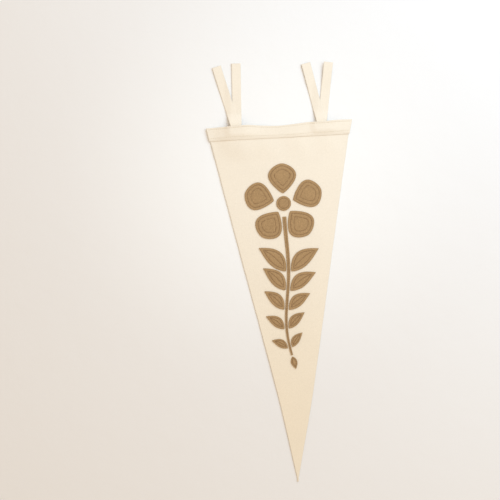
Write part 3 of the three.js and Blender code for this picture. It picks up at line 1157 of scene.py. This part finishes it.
@dataclass
class Stitching:
    """Rows of lock stitches: each is a short bowed length of thread that dips into its holes.

    bow is how high a stitch rises, dip how deep its ends lie, slant how far it is askew, reach
    how far to both sides its direction is taken, and end_size the share of its thickness that
    its ends keep. The arch of its rise and of its thickness is a sine to a power.
    """

    plan: Plan
    thread: Thread
    name: str
    pitch: float = 3.0
    length: float = 2.75
    half_width: float = 0.24
    half_height: float = 0.19
    bow: float = 0.36
    dip: float = 0.17
    rings: int = 7
    sides: int = 6
    slant: float = 0.07
    reach: float = 0.2
    end_size: float = 0.35
    rise_power: float = 0.6
    size_power: float = 0.5
    _points: list[Array] = field(default_factory=list)

    def sew(self, path: Array, side: Side = Side.FRONT) -> None:
        """Adds a row of stitches along a path.

        Each stitch's middle line is a sine arch from a hole to the next, and its section is an
        ellipse that gets smaller at both ends.

        Args:
            path: the line on the cloth's face, (n, 3), in millimetres.
            side: which face of the cloth it is.
        """
        run = np.concatenate([[0.0], np.cumsum(np.linalg.norm(np.diff(path, axis=0), axis=1))])
        count = max(int(round(run[-1] / self.pitch)), 1)
        begin = np.arange(count)[:, None] * run[-1] / count
        share = np.linspace(0.0, 1.0, self.rings)[None, :]
        at = begin + share * self.length * run[-1] / count / self.pitch
        behind, spot, ahead = (
            np.stack([np.interp(at + shift, run, path[:, k]) for k in range(3)], axis=2)
            for shift in (-self.reach, 0.0, self.reach)
        )
        way = ahead - behind
        way /= np.maximum(np.linalg.norm(way, axis=2, keepdims=True), 1e-9)
        aside = np.stack([-way[..., 1], way[..., 0], 0 * way[..., 0]], axis=2)
        up = np.array([0.0, 0.0, side.value])
        arch = np.sin(np.pi * share)[..., None]
        spot = spot + up * (self.bow * arch**self.rise_power - self.dip)
        spot = spot + aside * self.slant * (share[..., None] * 2 - 1)
        turn = 2 * np.pi * np.arange(self.sides) / self.sides
        size = (self.end_size + (1 - self.end_size) * arch**self.size_power)[..., None]
        across_it = aside[:, :, None, :] * (self.half_width * np.cos(turn))[None, None, :, None]
        upwards = np.array([0.0, 0.0, 1.0]) * (self.half_height * np.sin(turn))[:, None]
        self._points.append(spot[:, :, None, :] + (across_it + upwards) * size)

    def build(self) -> bpy.types.Object:
        """Joins all the stitches into one object, each closed by two flat faces at both ends."""
        points = np.concatenate(self._points)
        total = len(points)
        each = self.rings * self.sides
        ring = np.arange(self.rings - 1)[:, None] * self.sides
        spoke = np.arange(self.sides)[None, :]
        turn = (spoke + 1) % self.sides
        tube = np.stack([ring + spoke, ring + turn, ring + turn + self.sides,
                         ring + spoke + self.sides], axis=2).reshape(-1, 4)
        last = (self.rings - 1) * self.sides
        caps = np.array([[0, 3, 2, 1], [0, 5, 4, 3], [last, last + 1, last + 2, last + 3],
                         [last, last + 3, last + 4, last + 5]])
        one = np.concatenate([tube[:, ::-1], caps[:, ::-1]])
        faces = (one[None, :, :] + each * np.arange(total)[:, None, None]).reshape(-1, 4)
        made = new_object(self.name, self.plan.place(points.reshape(-1, 3)), faces,
                          self.thread.material())
        outwards(made)
        return made


def outwards(piece: bpy.types.Object) -> None:
    """Turns a closed piece's faces outwards."""
    mesh = bmesh.new()
    mesh.from_mesh(piece.data)
    bmesh.ops.recalc_face_normals(mesh, faces=mesh.faces)
    mesh.to_mesh(piece.data)
    mesh.free()


@dataclass(frozen=True)
class Lamp:
    """A square soft light that faces the middle of the pennant.

    place and side are in metres, and power is in watts.
    """

    name: str
    place: tuple[float, float, float]
    side: float
    power: float
    colour: Colour

    def build(self) -> bpy.types.Object:
        """Makes the light."""
        data = bpy.data.lights.new(self.name, "AREA")
        data.size = self.side
        data.energy = self.power
        data.color = self.colour
        made = bpy.data.objects.new(self.name, data)
        made.location = self.place
        made.rotation_euler = (-Vector(self.place)).to_track_quat("-Z", "Y").to_euler()
        bpy.context.scene.collection.objects.link(made)
        return made


@dataclass
class Studio:
    """The pale floor, the lights and the camera straight above.

    The floor's colour holds a painted pool of light: it is brightest at painted_light_spot and
    darkens to painted_falloff_colour at painted_light_radius, in metres.
    Its noises are in bumps a metre. view_centre is in millimetres of the plan.
    """

    plan: Plan
    lamps: tuple[Lamp, ...] = (
        Lamp("key", (1.65, 0.05, 1.2), 0.7, 6.0, (0.6, 0.765, 0.88)),
        Lamp("window", (0.75, 0.95, 1.0), 1.3, 17.0, (0.565, 0.78, 1.0)),
    )
    room_colour: Colour = (1.0, 0.842, 0.66)
    room_strength: float = 0.775
    floor_colour: Colour = (0.957, 0.957, 0.957)
    floor_size: float = 20.0
    # A pool of light painted into the floor's colour, and its painted falloff
    painted_light_spot: tuple[float, float] = (-25.0, -85.0)
    painted_light_radius: float = 0.37
    painted_falloff_colour: Colour = (0.852, 0.835, 0.831)
    grain: float = 420.0
    trowel: float = 26.0
    trowel_share: float = 9.0
    view_centre: tuple[float, float] = (-57.0, -195.3)
    view_width: float = 0.7875
    lean: float = math.radians(3.2)
    camera_height: float = 1.5
    sensor: float = 36.0

    def floor(self) -> bpy.types.Object:
        """A flat pale floor under the pennant, with a pool of light and its falloff painted into its
        colour.
        """
        tree = Tree("pale_floor")
        coordinates = tree.add("TexCoord").outputs["Object"]
        grain = tree.add("TexNoise", {"Vector": coordinates, "Scale": self.grain, "Detail": 3.0})
        trowelled = tree.add("TexNoise", {"Vector": coordinates, "Scale": self.trowel,
                                          "Detail": 4.0})
        height = tree.math("MULTIPLY_ADD", trowelled.outputs["Fac"], self.trowel_share,
                           grain.outputs["Fac"])
        bump = tree.add("Bump", {"Height": height, "Strength": 0.25, "Distance": 0.00025})
        # Painted light: the floor's colour darkens with distance from a bright spot, as a light's
        # falloff does
        middle = self.plan.place(np.array([*self.painted_light_spot, 0.0]))
        away = tree.add("VectorMath", {0: coordinates, 1: tuple(map(float, middle))},
                        operation="DISTANCE").outputs["Value"]
        dim = tree.add("MapRange", {"Value": away, "From Min": 0.0, "From Max": self.painted_light_radius},
                       interpolation_type="SMOOTHSTEP").outputs[0]
        colour = tree.blend(dim, rgba(self.floor_colour), rgba(self.painted_falloff_colour))
        shader = tree.add("BsdfPrincipled", {
            "Base Color": colour,
            "Roughness": 0.85,
            "Specular IOR Level": 0.2,
            "Normal": bump.outputs[0],
        })
        half = self.floor_size / 2
        points = np.array([[-half, -half, 0.0], [half, -half, 0.0], [half, half, 0.0],
                           [-half, half, 0.0]])
        made = new_object("floor", points, np.array([[0, 1, 2, 3]]), tree.finish(shader))
        return made

    def camera(self) -> bpy.types.Object:
        """A camera that looks straight down, turned so that the pennant leans as it should."""
        data = bpy.data.cameras.new("camera")
        data.sensor_width = self.sensor
        data.lens = self.sensor * self.camera_height / self.view_width
        made = bpy.data.objects.new("camera", data)
        bpy.context.scene.collection.objects.link(made)
        spot = self.plan.place(np.array([*self.view_centre, 0.0]))
        made.location = (float(spot[0]), float(spot[1]), self.camera_height)
        made.rotation_euler = (0.0, 0.0, -self.lean)
        bpy.context.scene.camera = made
        return made

    def build(self) -> None:
        """Makes the floor, the camera, the lights and the even pale surroundings."""
        self.floor()
        self.camera()
        for lamp in self.lamps:
            lamp.build()
        world = bpy.data.worlds.new("pale_room")
        world.use_nodes = True
        background = world.node_tree.nodes["Background"]
        background.inputs["Color"].default_value = rgba(self.room_colour)
        background.inputs["Strength"].default_value = self.room_strength
        bpy.context.scene.world = world
        bpy.context.scene.view_settings.view_transform = "Standard"


def declare(piece: bpy.types.Object, size: tuple[float, float], area: float | None = None,
            rests_on: Sequence[str] = ()) -> None:
    """Logs a piece's flat size as cut.

    Args:
        piece: the piece.
        size: its flat size as cut, in millimetres.
        area: not used.
        rests_on: not used.
    """
    LOG.info("%s: %.0f by %.0f mm", piece.name, *size)


def main() -> None:
    """Builds the pennant from its pieces, in the order in which it is sewn."""
    logging.basicConfig(level=logging.INFO, format="%(message)s")
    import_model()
    plan = plan_from_frame()
    Studio(plan).build()

    cloth = Pennant(plan).build()
    heading = Heading(plan)
    strip = heading.build()
    ties = [Tie(plan, line) for line in TIE_LINES]
    strips = {tie.node: tie.build() for tie in ties}
    cut_outs = [*Flower(plan).cut_outs(), *Sprig(plan).cut_outs()]
    motif = {cut.node: cut.build() for cut in cut_outs}

    seam = Stitching(plan, CREAM_THREAD, "heading_seams")
    for level in heading.seams:
        seam.sew(heading.seam_path(level))
        seam.sew(plan.on_back(heading.seam_path(level)), Side.BACK)
    seams = seam.build()
    quilting = Stitching(plan, TAN_THREAD, "motif_seams", pitch=2.8, length=2.5)
    for cut in cut_outs:
        for path in cut.stitch_paths():
            quilting.sew(path)
            quilting.sew(plan.on_back(path), Side.BACK)
    outlines = quilting.build()

    for piece in (cloth, strip, *strips.values(), *motif.values(), seams, outlines):
        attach(piece, "root")
        LOG.info("%s: %d faces", piece.name, len(piece.data.polygons))

    wide = 2 * float(plan.half_width(np.array(-plan.inset)))
    long = plan.length - plan.inset
    declare(cloth, (wide, long), (wide / 2 + plan.tip_half_width) * long, ["floor"])
    declare(strip, (wide + plan.left_reach + plan.right_reach, plan.heading_depth), None,
            [cloth.name, *[s.name for s in strips.values()]])
    for tie in ties:
        declare(strips[tie.node], (plan.tie_width, tie.line.length), None, [cloth.name, "floor"])
    for cut in cut_outs:
        if cut.node != "stem":
            width = max(cut.greatest_width(), LEAST_SIDE)
            declare(motif[cut.node], (width, cut.length), min(cut.area(), width * cut.length),
                    [cloth.name])


if __name__ == "__main__":
    main()
